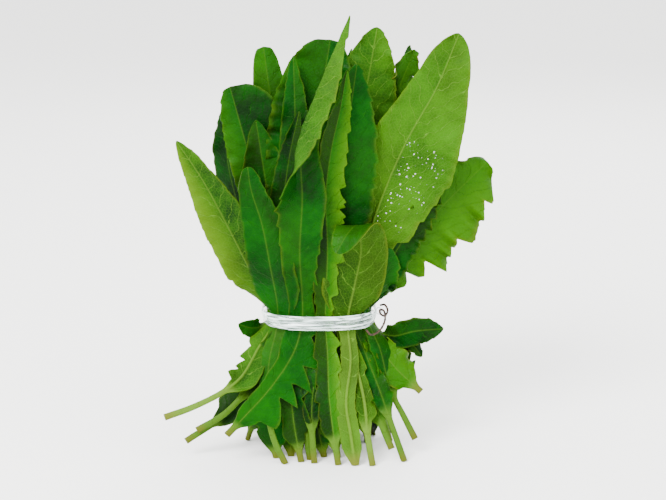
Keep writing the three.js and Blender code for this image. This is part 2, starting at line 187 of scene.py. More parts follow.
def wireMaterial():
    # Drawn mild steel wire gone to rust: brown scale, darker pits 1.5 mm across and a little bare metal.
    m = newMaterial("steel_wire_drawn_rusty")
    place = addNode(m, "TexCoord")
    scale = addNode(m, "TexNoise", inputs={"Vector": (place, "Object"), "Scale": 700.0, "Detail": 5.0})
    pits = addNode(m, "MapRange", softRange, {0: (scale, 0), 1: 0.38, 2: 0.62, 3: 0.0, 4: 1.0})
    colour = addNode(m, "Mix", colourMix, {0: (pits, 0), 6: hexColour("#1a1009"), 7: hexColour("#3d2714")})
    bump = addNode(m, "Bump", inputs={"Strength": 0.7, "Distance": 0.0002, "Height": (scale, 0)})
    surface = addNode(m, "BsdfPrincipled", inputs={
        "Base Color": (colour, 2), "Metallic": 0.35, "Roughness": 0.62, "Normal": (bump, 0)})
    addNode(m, "OutputMaterial", inputs={0: (surface, 0)})
    return m


def waterMaterial():
    # Drops of clean water left by the wash: clear, with a sharp highlight each, and never quite round.
    m = newMaterial("water_drops_clear")
    place = addNode(m, "TexCoord")
    swell = addNode(m, "TexNoise", inputs={"Vector": (place, "Object"), "Scale": 300.0})
    bump = addNode(m, "Bump", inputs={"Strength": 0.1, "Distance": 0.0002, "Height": (swell, 0)})
    surface = addNode(m, "BsdfPrincipled", inputs={
        "Base Color": hexColour("#ffffff"), "Roughness": 0.02, "IOR": 1.33, "Alpha": 0.3, "Coat Weight": 1.0,
        "Normal": (bump, 0)})
    addNode(m, "OutputMaterial", inputs={0: (surface, 0)})
    return m


leafUpper = leafMaterial("chicory_leaf_upper_waxy", upperSide)
leafUnder = leafMaterial("chicory_leaf_under_matt", underSide)
clearFilm = filmMaterial()
water = waterMaterial()
rustyWire = wireMaterial()
print("materials made")

leafShape = {
    "stemHalfWidth": 2.3,        # at the cut end
    "tipHalfWidth": 0.3,
    "stemThickness": 3.0,
    "ribThicknessAtTip": 0.8,
    "bladeThickness": 0.42,
    "veinPitch": 8.5,            # side veins lift the blade at every 8.5 mm
    "bandHeight": 97,
    "bandHalf": (37.4, 32.6),    # the room inside the band, from its middle, to the right and to the back
    "bandRoundness": 2.6,
    "bandReach": 5,              # it is this narrow this far above and below its height
    "bandSpread": 0.95,          # and then opens by this for each mm further
    "bandEases": (9, 24),        # its hold on the leaves ends between these two distances
    "gathered": 16,              # the blades are gathered over this distance
    "bladeChanges": (84, 118),   # heights between which the blade below the band turns into the one above it
    "shortBlade": 18,            # the lower blade widens over this length, above the bare stem
}


def smooth(x, low, high):
    x = np.clip((x - low) / (high - low), 0, 1)
    return x * x * (3 - 2 * x)


def readAt(values, t):
    # values set at even steps from 0 to 1, or one value for all
    values = values if isinstance(values, (list, tuple)) else [values, values]
    return np.interp(t, np.linspace(0, 1, len(values)), values)


def alongSpline(points):
    # the same smooth line as the frame's: centripetal Catmull-Rom
    p = np.array(points, float)
    p = np.vstack([2 * p[0] - p[1], p, 2 * p[-1] - p[-2]])
    s = np.linspace(0, 1, 40, endpoint=False)[:, None]
    runs = []
    for i in range(1, len(p) - 2):
        a, b, c, d = p[i - 1:i + 3]
        u, v, w = (np.linalg.norm(q) ** 0.5 for q in (b - a, c - b, d - c))
        first = ((b - a) / u - (c - a) / (u + v) + (c - b) / v) * v
        last = ((c - b) / v - (d - b) / (v + w) + (d - c) / w) * v
        runs.append((2 * s**3 - 3 * s**2 + 1) * b + (s**3 - 2 * s**2 + s) * first
                    + (3 * s**2 - 2 * s**3) * c + (s**3 - s**2) * last)
    return np.vstack(runs + [p[-2:-1]])


def chance(k, seed):
    # an even number from 0 to 1 for each whole k, the same each run
    x = np.sin(k * 12.9898 + seed * 78.233) * 43758.5453
    return x - np.floor(x)


def teethAlong(v, gap, seed, taper=2.2):
    # teeth that point back down the leaf: out at once at the lower end, then sloping in towards the tip
    place = v / gap + 0.35 * np.sin(v / gap * 1.3 + seed)
    k = np.floor(place)
    rise = place - k
    tooth = np.minimum(rise / 0.1, 1) * (1 - rise) ** taper
    return tooth * (0.35 + 0.65 * chance(k, seed))


def insideBand(place):
    # the band presses everything that passes through it inside its round
    shape = leafShape
    x, y, z = place[..., 0], place[..., 1], place[..., 2]
    away = np.abs(z - shape["bandHeight"])
    slack = shape["bandSpread"] * (away - shape["bandReach"]).clip(0)
    power, (halfWidth, halfDepth) = shape["bandRoundness"], shape["bandHalf"]
    right, back = np.abs(x) / (halfWidth + slack), np.abs(y) / (halfDepth + slack)
    reach = (right ** power + back ** power) ** (1 / power)
    limited = np.where(reach > 0.9, 0.9 + 0.1 * np.tanh((reach - 0.9) / 0.1), reach)
    pull = 1 + (limited / np.maximum(reach, 1e-6) - 1) * (1 - smooth(away, *shape["bandEases"]))
    return np.stack([x * pull, y * pull, z], -1)


def midribOf(leaf):
    # the midrib from the ground or its own start to the tip: for each row how far along it is, its place, the
    # way the leaf faces there and the way across it
    line = alongSpline(leaf["path"])
    run = np.concatenate([[0], np.cumsum(np.linalg.norm(np.diff(line, axis=0), axis=1))])
    length = run[-1]
    first = 0.0
    if line[0, 2] < 0:
        first = np.interp(0, line[:20, 2], run[:20]) / length
    t = np.linspace(first, 1, leaf["rows"] + 1)
    t = t + 0.45 * (t - first) * (1 - t)  # rows lie closer at the tip
    middle = np.stack([np.interp(t * length, run, line[:, k]) for k in range(3)], 1)
    slopes = np.gradient(line, run, axis=0)
    along = np.stack([np.interp(t * length, run, slopes[:, k]) for k in range(3)], 1)
    along /= np.linalg.norm(along, axis=1)[:, None]
    faces = [f if isinstance(f, (list, tuple)) else (f, 0) for f in leaf["face"]]
    turn = np.radians(readAt([f[0] for f in faces], t))
    rise = np.radians(readAt([f[1] for f in faces], t))
    facing = np.stack([np.sin(turn) * np.cos(rise), -np.cos(turn) * np.cos(rise), np.sin(rise)], 1)
    out = facing - along * (facing * along).sum(1)[:, None]
    out /= np.linalg.norm(out, axis=1)[:, None]
    return t, t * length, middle, out, np.cross(along, out)


def bladeAlong(leaf, t, v, z, stem):
    # how far the blade stands out from the stem, before teeth and lobes
    shape = leafShape
    u = np.clip((t - leaf["from"]) / (1 - leaf["from"]), 0, 1)
    outline = np.sin(math.pi * u ** leaf["peak"]).clip(0) ** leaf["bluntness"]
    width = readAt(leaf["width"], t) * leaf["grow"]
    blade = (width / 2 - stem).clip(0) * outline
    if leaf["lowWidth"] is None:  # a leaf that hangs below the band is all blade
        return blade
    over = smooth(z, *shape["bladeChanges"])
    bare = leaf["bareStem"]
    lowBlade = leaf["lowWidth"] / 2 * smooth(v - v[0], bare, bare + shape["shortBlade"])
    gathered = np.exp(-((z - shape["bandHeight"]) / shape["gathered"]) ** 2)
    return (blade * over + lowBlade * (1 - over)) * (1 - leaf["squeeze"] * gathered)


def leafSheet(leaf):
    # all points of the leaf's middle surface, row by row from the foot, with thickness, map place and tones
    shape, seed = leafShape, leaf["seed"]
    t, v, middle, out, across = midribOf(leaf)
    stem = shape["stemHalfWidth"] + (shape["tipHalfWidth"] - shape["stemHalfWidth"]) * t
    blade = bladeAlong(leaf, t, v, middle[:, 2], stem)
    opened = smooth(blade, 0.5, 6)
    side = np.linspace(0, 1, leaf["columns"] + 1)
    q = side ** 1.45  # columns lie closer at the rib
    sheets = []
    for sign, hand in ((-1, "Left"), (1, "Right")):
        # the margin: lobes take a share of the blade away, and teeth stand out of what is left
        lobe = readAt(leaf.get("lobes" + hand, leaf["lobes"]), t)
        tooth = readAt(leaf.get("teeth" + hand, leaf["teeth"]), t)
        phase = seed * 1.7 + sign
        cut = 1 - lobe * (1 - teethAlong(v, leaf["lobeGap"], phase, 0.8) * 1.25).clip(0, 1)
        half = (stem + blade * cut * readAt(leaf["share" + hand], t)
                + tooth * opened * (teethAlong(v, leaf["toothGap"], phase + 5) - 0.2))
        half = np.maximum(half, stem)

        # the fold: each row bends away from the rib, and its length stays the same
        fold = np.radians(readAt(leaf[hand.lower()], t)) + 0.12 * opened * np.sin(v / 37 + phase)
        slope = fold[:, None] * smooth(q, 0, leaf["foldSpan"])[None, :]
        step = np.diff(q, prepend=0)[None, :] * half[:, None]
        middleSlope = np.concatenate([slope[:, :1], (slope[:, 1:] + slope[:, :-1]) / 2], 1)
        sideways = sign * np.cumsum(step * np.cos(middleSlope), 1)
        outwards = np.cumsum(step * np.sin(middleSlope), 1)
        wide, front = across[:, None, :], out[:, None, :]
        place = middle[:, None, :] + wide * sideways[..., None] + front * outwards[..., None]
        normal = front * np.cos(slope)[..., None] - sign * wide * np.sin(slope)[..., None]

        # thickness: a round stem that thins to a rib in a thin blade
        x = q[None, :] * half[:, None]
        ribHalf = 0.34 * stem + 0.25
        rib = np.exp(-(x / (1.15 * ribHalf[:, None])) ** 2)
        ribThick = shape["stemThickness"] + (shape["ribThicknessAtTip"] - shape["stemThickness"]) * t ** 0.8
        stemRound = np.sqrt(np.clip(1 - 0.85 * np.clip(x / stem[:, None], 0, 1) ** 2, 0, 1))
        stemThick = ribThick[:, None] * stemRound
        bladeThick = shape["bladeThickness"] + (ribThick[:, None] - shape["bladeThickness"]) * rib
        thick = stemThick + (bladeThick - stemThick) * opened[:, None]

        # relief: pillows between the side veins, and ripples that grow towards the margin
        veinAlong = (v[:, None] - 0.95 * x) / shape["veinPitch"] + 0.3 * np.sin(v / 31 + phase)[:, None]
        pillow = 0.16 * np.cos(2 * math.pi * veinAlong) * smooth(x, 1.5, 5) * (1 - 0.5 * q[None, :] ** 4)
        wave, gap = 2 * math.pi * v, leaf["rippleGap"]
        waves = (np.sin(wave / gap + phase) + 0.5 * np.sin(wave / (0.43 * gap) + 2 * phase)
                 + 0.25 * np.sin(wave / 9.5 + 3 * phase))
        ripple = leaf["ripple"] * q[None, :] ** 2.2 * waves[:, None]
        upper = 1 if leaf["side"] == "upper" else -1
        shiftOut = opened[:, None] * (upper * (pillow - 0.42 * (thick - shape["bladeThickness"])) + ripple)
        place = place + normal * shiftOut[..., None]
        if leaf["lowWidth"] is not None:
            place = insideBand(place)

        tones = tonesAcross(leaf, sign, hand, t, v, q, x / ribHalf[:, None], opened, phase)
        leafMap = np.stack([sign * x, np.broadcast_to(v[:, None], x.shape)], -1)
        sheets.append((place, thick, leafMap, tones))
    return [np.concatenate([left[:, :0:-1], right], 1) for left, right in zip(*sheets)]


def tonesAcross(leaf, sign, hand, t, v, q, ribSteps, opened, phase):
    # what the leaf material reads: rib and stem, lightness, wear and yellow
    q, row = q[None, :], opened[:, None]
    paleLine = np.exp(-(ribSteps / 0.75) ** 2)
    shown = np.maximum(opened, smooth(t, 0.45, 0.65))[:, None]
    stemLike = (1 - shown * (1 - paleLine * (0.9 - 0.45 * t[:, None]))) * leaf["paleRib"]
    # lightness for each leaf and each side of the rib; on the ridged sword the side values are painted shade
    # and painted light
    light = ((readAt(leaf["light"], t) + readAt(leaf["light" + hand], t))[:, None]
             + 0.25 * q ** 2 * leaf["edgeLight"] + 0.12 * np.sin(v / 50 + leaf["seed"])[:, None])
    ragged = chance(np.floor(v / 7), leaf["seed"] + sign)[:, None]
    wear = leaf["wear"] * smooth(q, 0.86, 1.0) * ragged * row * 0.8
    cutEnd = 1 - smooth(v - v[0], 0.6, 7 + 5 * (leaf["seed"] % 1.3))
    wear = wear + 0.75 * cutEnd[:, None] * leaf["brownFoot"]
    yellow = leaf["yellow"] + readAt(leaf["yellow" + hand], t)[:, None] * q ** 1.2
    margin = smooth(q, 0.9, 1.0)  # thin and pale
    yellow = yellow + 0.06 * np.sin(v / 21 + phase)[:, None] + 0.25 * margin
    return np.stack([stemLike, light, wear, yellow], -1)


def leafPiece(leaf):
    leaf = {**leafDefaults, **leaf}
    points, thick, place, tones = leafSheet(leaf)
    rows, columns = thick.shape
    bpy.ops.object.select_all(action="DESELECT")
    bpy.ops.mesh.primitive_grid_add(x_subdivisions=columns - 1, y_subdivisions=rows - 1, size=1)
    piece = bpy.context.object
    piece.name = leaf["name"].replace("leaf_", "green_")
    mesh = piece.data
    mesh.name = piece.name
    mesh.vertices.foreach_set("co", ((points - middleOfFoot) * millimetre).ravel())
    loops = np.empty(len(mesh.loops), int)
    mesh.loops.foreach_get("vertex_index", loops)
    leafMap = mesh.uv_layers[0]
    leafMap.name = "leafMap"
    leafMap.uv.foreach_set("vector", (place.reshape(-1, 2)[loops] * 0.01).ravel())
    tone = mesh.color_attributes.new("tone", "FLOAT_COLOR", "POINT")
    tone.data.foreach_set("color", tones.clip(0, 1).ravel())
    group = piece.vertex_groups.new(name="thickness")
    thickest, levels = leafShape["stemThickness"], 40
    for level in range(1, levels + 1):
        chosen = np.flatnonzero(np.round(thick.ravel() / thickest * levels) == level)
        if len(chosen):
            group.add(chosen.tolist(), level / levels, "REPLACE")
    outer, inner = (leafUpper, leafUnder) if leaf["side"] == "upper" else (leafUnder, leafUpper)
    mesh.materials.append(outer)
    mesh.materials.append(inner)
    wall = piece.modifiers.new("wall", "SOLIDIFY")
    wall.thickness = thickest * millimetre
    wall.offset = 0
    wall.vertex_group = "thickness"
    wall.thickness_vertex_group = 0.08
    wall.material_offset = 1
    bpy.ops.object.modifier_apply(modifier="wall")
    co = np.empty(len(mesh.vertices) * 3)
    mesh.vertices.foreach_get("co", co)
    co = co.reshape(-1, 3)
    co[:, 2] = co[:, 2].clip(0)  # the cut is level
    mesh.vertices.foreach_set("co", co.ravel())
    mesh.update()
    bpy.ops.object.shade_smooth_by_angle(angle=math.radians(50))
    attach(piece, "root")
    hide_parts(leaf["name"])


# What a leaf can say. A list is read at even steps from the start of the midrib to its tip. Left and Right
# are the two sides of the rib, as seen from where the leaf faces. Lengths are in millimetres.
#   path, face: the midrib's points, and where the leaf faces, in degrees: a turn, or a turn and a rise
#   left, right, foldSpan: how far each side folds outwards, in degrees, and over what share of its width
#   width, from, peak, bluntness, grow, share: the blade, its start, its widest place and how full it is
#   lowWidth, bareStem, squeeze: the blade below the band, the bare stem under it, and the share that the
#     band takes; a lowWidth of None is a leaf that hangs below the band
#   lobes, teeth, ripple: the margin, with lobes as a share of the blade, and the gap from one to the next
#   side, light, yellow, edgeLight: the side that faces out, and its colours; lightLeft and lightRight make
#       one side
#   lighter or darker, which on the ridged sword is painted shade on its left wing and painted light on its
#   right
#   paleRib, wear, brownFoot: how much the rib, the dried edges and the cut end show
leafDefaults = {
    "rows": 150, "columns": 11, "grow": 1.08, "bluntness": 0.72, "foldSpan": 0.5,
    "lightLeft": 0.0, "lightRight": 0.0, "edgeLight": 0.4,
    "yellow": 0.05, "yellowLeft": 0.0, "yellowRight": 0.0, "paleRib": 0.85, "wear": 0.2, "brownFoot": 0.6,
    "lobes": [0.55, 0.55, 0.45, 0.1, 0, 0], "lobeGap": 21, "teeth": 1.3, "toothGap": 7.5,
    "ripple": 1.5, "rippleGap": 46, "shareLeft": 1.0, "shareRight": 1.0,
}
# The leaves of the front and the sides, placed one by one.
placedLeaves = [
    {
        "name": "leaf_front_folded_sword", "side": "upper", "seed": 0.7, "rows": 280, "columns": 15,
        "path": [[-64, -54, 22], [-50, -53, 37], [-34, -48, 54], [-17.5, -34.5, 77], [-12, -27.6, 97],
                 [-13, -45, 150], [-11, -54, 188], [-11, -60, 225], [2.5, -64, 266], [21, -60, 313]],
        "face": [10, 0, 0], "left": [0, 0, 0, 10, 20, 120, 150, 150], "right": [0, 5, 5, 5, 5, 5],
        "foldSpan": 0.3,
        "width": [24, 24, 23, 27, 34, 36, 34], "from": 0.03, "peak": 1.25,
        "shareLeft": [0.3, 0.3, 0.4, 0.9, 1, 1, 1.1, 1.3, 1.4, 1.3, 1.1],
        "shareRight": [0.6, 1.5, 1.5, 1.1, 1, 1, 1, 0.7, 0.4, 0.35, 0.3],
        "lowWidth": 34, "bareStem": 6, "squeeze": 0.2,
        "lobesLeft": 0, "lobesRight": [0.4, 0.8, 0.7, 0.3, 0, 0, 0, 0, 0], "lobeGap": 19,
        "teethLeft": [1, 1, 1, 2, 4, 6, 7, 4], "teethRight": [1, 2, 2, 1, 0.5, 0.5], "toothGap": 17,
        "ripple": 0.8,
        "light": [0.5, 0.5, 0.5, 0.55, 0.55, 0.5, 0.35, 0.35], "edgeLight": 0.3, "yellow": 0.03,
    },
    {
        "name": "leaf_front_ridged_sword", "side": "upper", "seed": 2.07, "rows": 260, "columns": 15,
        "path": [[14, -54, -3], [10, -49, 22], [7, -42, 48], [6, -34, 75], [4.5, -30, 97], [6, -40, 150],
                 [5, -47, 192], [9, -52, 224], [15, -54, 252], [19, -52, 276]],
        "face": [0, 0, 15], "left": [0, 10, 35], "right": [0, 5, 5],
        "width": [18, 20, 22, 24], "from": 0.1, "peak": 1.1, "shareRight": [1, 1, 1, 1.25, 1.35, 1.3],
        "lowWidth": 18, "bareStem": 12, "squeeze": 0.3,
        "lobesLeft": [0.4, 0.4, 0.3, 0, 0, 0], "lobesRight": [0.4, 0.4, 0.7, 0.5, 0.2, 0], "lobeGap": 16,
        "teethLeft": 0.6, "teethRight": [1, 1, 3.5, 4, 3.5, 3], "toothGap": 16, "ripple": 1.1,
        # lightLeft darkens the left wing: painted shade, where the folded sword in front shades it.
        # lightRight brightens the right wing, which faces up into the light: painted light.
        "light": [0.3, 0.3, 0.3, 0.4, 0.4], "lightLeft": -0.5, "lightRight": 0.5, "yellow": 0.1,
        "yellowRight": 0.9, "paleRib": 1.1,
    },
    {
        "name": "leaf_front_flap", "side": "under", "seed": 3.44, "rows": 200, "columns": 14,
        "path": [[26, -55, -3], [22, -50, 22], [19, -44, 42], [22, -34, 70], [20, -27, 97],
                 [25, -32.5, 125], [29, -36, 148], [28, -43, 163], [26, -51, 170], [20, -59, 166],
                 [12, -62, 153]],
        "face": [0, 0, 0, 0, 10, 10, 5, 5, [0, -10], [0, -90], [0, -150]], "left": [0, 0], "right": [0, 0],
        "width": 38, "from": 0.1, "peak": 1.2, "bluntness": 0.5, "shareLeft": [1.2, 1.2, 1],
        "lowWidth": 9, "bareStem": -3, "squeeze": 0.3,
        "lobes": 0, "teeth": [1.5, 1.5, 0.5, 0.3, 0.5], "ripple": 0.7,
        "light": [0.6, 0.6, 0.4, 0.0, -0.1, 0.0, 0.6], "yellow": 0.15, "wear": 0.3,
    },
    {
        "name": "leaf_front_small_right", "side": "upper", "seed": 4.81,
        "path": [[68, -31, 12], [60, -30, 28], [50, -28, 48], [43, -23.5, 75], [34.5, -15, 97],
                 [44, -25, 128], [48, -30, 150]],
        "face": [20, 30, 40, 20], "left": [0, 5], "right": [0, 5],
        "width": 19, "from": 0.2, "peak": 1.3, "bluntness": 0.45, "shareRight": 1.7,
        "lowWidth": 12, "bareStem": 30, "squeeze": 0.3,
        "lobes": 0.2, "teeth": 1.0,
        "light": 0.5,
    },
    {
        "name": "leaf_left_blunt_sword", "side": "upper", "seed": 6.18, "rows": 200, "columns": 13,
        "path": [[-22, -52, -3], [-32, -47, 18], [-36, -42, 38], [-35, -32, 68], [-29, -20, 97],
                 [-34, -37, 141], [-39, -44, 170], [-46, -48, 195], [-48, -49, 210]],
        "face": [-10, -30, -30, -10, -5], "left": [0, 5], "right": [0, 5],
        "width": 25, "from": 0.1, "peak": 1.25, "bluntness": 0.4, "shareLeft": [1, 1, 1.2, 1.2, 1],
        "shareRight": [1, 1, 1.4, 1.5, 1.25, 1],
        "lowWidth": 10, "bareStem": 30, "squeeze": 0.25,
        "lobes": 0, "teeth": 1.4, "toothGap": 13, "ripple": 0.8,
        "light": 0.42, "yellow": 0.0,
    },
    {
        "name": "leaf_left_outer", "side": "under", "seed": 7.55, "rows": 220, "columns": 14,
        "path": [[-108, -45, 32], [-88, -43, 39], [-68, -38, 48], [-54, -30, 57], [-43, -19, 74],
                 [-31, -12.5, 97], [-50, -24.5, 138], [-65, -30, 170], [-80, -36, 200], [-97, -37, 226]],
        "face": [-15, -40, -35, -25, -25], "left": [0, 0, 10, 30, 30], "right": [0, 5],
        "width": 37, "from": 0.12, "peak": 1.15,
        "lowWidth": 22, "bareStem": 45, "squeeze": 0.2,
        "lobesLeft": [0.3, 0.6, 0.5, 0.1, 0, 0], "lobesRight": 0, "lobeGap": 13, "teeth": 0.9,
        "ripple": 0.9,
        "light": [0.2, 0.2, 0.4, 0.3, 0.3], "lightLeft": 0.05,
        "yellowLeft": [0, 0, 0, 0.2, 0.5, 0.8, 0.9, 0.9],
    },
    {
        "name": "leaf_centre_broad_sword", "side": "upper", "seed": 8.92, "rows": 220, "columns": 14,
        "path": [[-3, -50, -3], [-5, -44, 25], [-4, -38, 50], [3, -29, 76], [8, -24.5, 97], [12, -31, 147],
                 [13, -36, 183], [18, -41, 222], [26, -42, 279]],
        "face": [0, 0, 0], "left": [0, 5], "right": [0, 5],
        "width": 46, "from": 0.2, "peak": 1.4,
        "lowWidth": 14, "bareStem": 20, "squeeze": 0.4,
        "teethLeft": 1, "teethRight": [1, 2, 4, 4, 3], "toothGap": 12, "ripple": 1.0,
        "light": [0.1, 0.1, 0.1, 0.25, 0.35], "lightLeft": -0.15, "yellow": 0.0,
    },
    {
        "name": "leaf_right_broad", "side": "under", "seed": 10.29, "rows": 280, "columns": 20,
        "path": [[38, -56, -3], [34, -49, 20], [31, -40, 45], [24, -29, 72], [15, -20.5, 97],
                 [29, -26, 141], [41, -30, 179], [60, -33, 225], [80, -35, 262], [95, -35, 299]],
        "face": [10, 10, 5, 0], "left": [0, 5], "right": [0, 5],
        "width": 59, "from": 0.25, "peak": 1.7, "bluntness": 0.62,
        "shareLeft": [1, 1, 1, 1, 1, 0.95, 0.9, 0.85, 0.65, 0.65, 0.85],
        "shareRight": [1, 1, 1, 1, 1.1, 1.2, 1.35, 1.36, 1.1, 0.85, 1],
        "lowWidth": 12, "bareStem": 20, "squeeze": 0.4,
        "teeth": [1, 1, 1.4, 0.5, 0.3], "toothGap": 9, "ripple": 1.8, "rippleGap": 58,
        "light": [0.4, 0.4, 0.3, 0.4, 0.55, 0.55], "yellow": 0.1,
    },
    {
        "name": "leaf_centre_left_dark", "side": "upper", "seed": 11.66,
        "path": [[-12, -47, -3], [-18, -42, 30], [-20, -33, 66], [-16, -24.5, 97], [-23, -33, 140],
                 [-24, -37, 180], [-20, -41, 215], [-13, -43, 247]],
        "face": [0, -10, -10], "left": [0, 10], "right": [0, 10],
        "width": 20, "from": 0.15, "peak": 1.3,
        "lowWidth": 22, "bareStem": 6, "squeeze": 0.4,
        "light": 0.05,
    },
    {
        "name": "leaf_left_pointed", "side": "upper", "seed": 13.03, "rows": 200, "columns": 13,
        "path": [[-30, -38, -3], [-33, -36, 25], [-30, -29, 58], [-25, -24, 80], [-21.5, -20.5, 97],
                 [-26.5, -23.5, 140], [-35, -27, 186], [-43, -28, 239]],
        "face": [-10, -20, -5, -5], "left": [0, 12], "right": [0, 5],
        "width": 29, "from": 0.15, "peak": 1.45, "shareLeft": 1.3, "shareRight": 1.3,
        "lowWidth": 26, "bareStem": 2, "squeeze": 0.4,
        "teeth": 1.8, "toothGap": 9,
        "light": 0.2, "lightLeft": -0.12, "lightRight": 0.25,
    },
    {
        "name": "leaf_top_left_slim", "side": "upper", "seed": 14.4,
        "path": [[-6, -42, -3], [-10, -40, 30], [-9, -33, 66], [-7.5, -24.5, 97], [-12, -29.5, 150],
                 [-16, -32.5, 200], [-16, -35, 240], [-17, -36, 284]],
        "face": [0, 0, -5], "left": [0, 8], "right": [0, 8],
        "width": 22, "from": 0.15, "peak": 1.5,
        "lowWidth": 20, "bareStem": 14, "squeeze": 0.4,
        "light": 0.12,
    },
    {
        "name": "leaf_top_centre_dark", "side": "upper", "seed": 15.77, "rows": 200, "columns": 14,
        "path": [[4, -36, -3], [-2, -32, 30], [-4, -26, 66], [-4, -19, 97], [-5, -23.5, 150],
                 [-4, -25.5, 200], [1, -27, 250], [8, -28, 294]],
        "face": [0, 0, -5], "left": [0, 4], "right": [0, 4],
        "width": 40, "from": 0.2, "peak": 1.7, "bluntness": 0.36, "grow": 1.2, "shareLeft": 1.45,
        "lowWidth": 26, "bareStem": 2, "squeeze": 0.5,
        "ripple": 2.6, "rippleGap": 24,
        "light": 0.2, "lightRight": 0.15,
    },
    {
        "name": "leaf_top_right_veined", "side": "under", "seed": 17.14, "rows": 220, "columns": 14,
        "path": [[14, -38, -3], [8, -33, 30], [7, -26, 66], [6, -18.5, 97], [13, -19, 150], [22, -20, 200],
                 [32, -21, 255], [40, -21, 302]],
        "face": [0, 0, 5], "left": [0, 2], "right": [0, 2],
        "width": 42, "from": 0.2, "peak": 1.75, "bluntness": 0.6, "grow": 1.15,
        "lowWidth": 24, "bareStem": 4, "squeeze": 0.5,
        "teeth": 1.2, "ripple": 2.2,
        "light": 0.5,
    },
    {
        "name": "leaf_top_right_curled", "side": "upper", "seed": 18.51,
        "path": [[51, -45, 9], [44, -39, 25], [37, -31, 48], [28, -22, 72], [18.5, -14, 97], [30, -14, 150],
                 [40, -14, 200], [52, -14, 250], [66, -15, 286]],
        "face": [15, 10, 10], "left": [0, 5], "right": [0, 5],
        "width": 24, "from": 0.2, "peak": 1.6, "bluntness": 0.4, "grow": 1.3,
        "lowWidth": 18, "bareStem": 15, "squeeze": 0.5,
        "lobes": [0.3, 0.3, 0.1, 0.3, 0.5], "ripple": 3.0, "rippleGap": 26,
        "light": 0.6, "yellow": 0.3, "wear": 0.8,
    },
    {
        "name": "leaf_top_left_round", "side": "upper", "seed": 19.88,
        "path": [[-20, -34, -3], [-20, -30, 30], [-16, -24, 66], [-13, -16.5, 97], [-18, -14.5, 140],
                 [-24, -14, 180], [-31, -14, 235], [-38, -14, 288]],
        "face": [0, -5, 0], "left": [0, 4], "right": [0, 4],
        "width": 21, "from": 0.2, "peak": 1.9, "bluntness": 0.3, "grow": 1.2,
        "lowWidth": 28, "bareStem": 0, "squeeze": 0.5,
        "teeth": 0.3, "ripple": 1.0,
        "light": 0.42, "yellow": 0.2,
    },
    {
        "name": "leaf_top_left_lean", "side": "upper", "seed": 21.25, "rows": 200, "columns": 13,
        "path": [[-86, -40, 21], [-66, -35, 32], [-47, -27, 52], [-32, -19, 76], [-22, -15, 97],
                 [-28, -18, 140], [-38, -19, 180], [-50, -20, 220], [-61, -20, 261]],
        "face": [-20, -10, -5, -5], "left": [0, 15], "right": [0, 3],
        "width": 36, "from": 0.2, "peak": 1.5, "bluntness": 0.34, "shareLeft": 0.8,
        "shareRight": [1, 1, 1.3, 1.9, 2.2],
        "lowWidth": 14, "bareStem": 35, "squeeze": 0.5,
        "light": 0.15, "lightLeft": 0.3, "lightRight": -0.1, "yellowLeft": 0.2,
    },
    {
        "name": "leaf_left_dark", "side": "upper", "seed": 22.62,
        "path": [[-94, -37, 12], [-66, -28, 30], [-44, -15, 60], [-28, -7.5, 97], [-42, -8, 135],
                 [-55, -7, 170], [-64, -8, 210], [-63, -9, 251]],
        "face": [-25, -30, -30, -30], "left": [0, 5], "right": [0, 5],
        "width": 25, "from": 0.15, "peak": 1.4, "bluntness": 0.5,
        "lowWidth": 20, "bareStem": 20, "squeeze": 0.5,
        "teeth": 1.0,
        "light": 0.03,
    },
    {
        "name": "leaf_right_lean_dark", "side": "upper", "seed": 23.99,
        "path": [[61, -46, -3], [51, -41, 25], [42, -34, 50], [33, -25, 72], [25, -17, 97], [45, -19, 130],
                 [60, -21, 156], [73, -23, 176], [83, -24, 192]],
        "face": [15, 15, 10], "left": [0, 3], "right": [0, 3],
        "width": 27, "from": 0.2, "peak": 1.5, "bluntness": 0.5, "grow": 1.2,
        "lowWidth": 14, "bareStem": 30, "squeeze": 0.4,
        "lobes": 0.3, "lobeGap": 12, "teeth": 2.6, "toothGap": 7, "ripple": 2.6, "rippleGap": 17,
        "light": [0.5, 0.45, 0.15, 0.1, 0.1],
    },
    {
        "name": "leaf_right_ragged", "side": "upper", "seed": 25.36, "rows": 260, "columns": 18,
        "path": [[72, -29, 46], [54, -24, 62], [40, -17, 80], [30, -9.5, 97], [55, -12, 139],
                 [84, -14, 174], [117, -15, 208]],
        "face": [30, 30, 15, 5], "left": [0, 3], "right": [0, 3],
        "width": 54, "from": 0.3, "peak": 1.9, "bluntness": 0.42, "grow": 1.2,
        "shareRight": [1, 1, 1, 1, 1, 1.3, 1.5, 1.5, 1.35, 1.1],
        "lowWidth": 22, "bareStem": 3, "squeeze": 0.5,
        "lobes": [0, 0, 0.2, 0.6, 0.5, 0.5], "lobeGap": 23, "teeth": 3.2, "toothGap": 9, "ripple": 4.5,
        "rippleGap": 30,
        "light": 0.7, "yellow": 0.4, "yellowRight": 0.3, "wear": 0.4,
    },
    {
        "name": "leaf_right_low_sideways", "side": "upper", "seed": 26.73,
        "path": [[34.5, -2, 109], [35.5, -3, 97], [40, -9, 86], [52, -18, 84], [68, -28, 90],
                 [87, -33, 93]],
        "face": [60, 60, 0, 0], "left": [0, 5], "right": [0, 5],
        "width": 20, "from": 0.25, "peak": 1.3,
        "lowWidth": None,
        "lobes": 0, "teeth": 1.0,
        "light": 0.1,
    },
    {
        "name": "leaf_right_low_small", "side": "upper", "seed": 28.1,
        "path": [[35, 6, 108], [35.5, 5, 97], [42, 0, 84], [54, -7, 78], [66, -13, 76], [73, -16, 68]],
        "face": [80, 80, 20, 20], "left": [0, 10], "right": [0, 10],
        "width": 14, "from": 0.5, "peak": 1.2,
        "lowWidth": None,
        "lobes": 0.4, "lobeGap": 8,
        "light": 0.3, "wear": 0.6,
    },
    {
        "name": "leaf_right_low_torn", "side": "upper", "seed": 29.47,
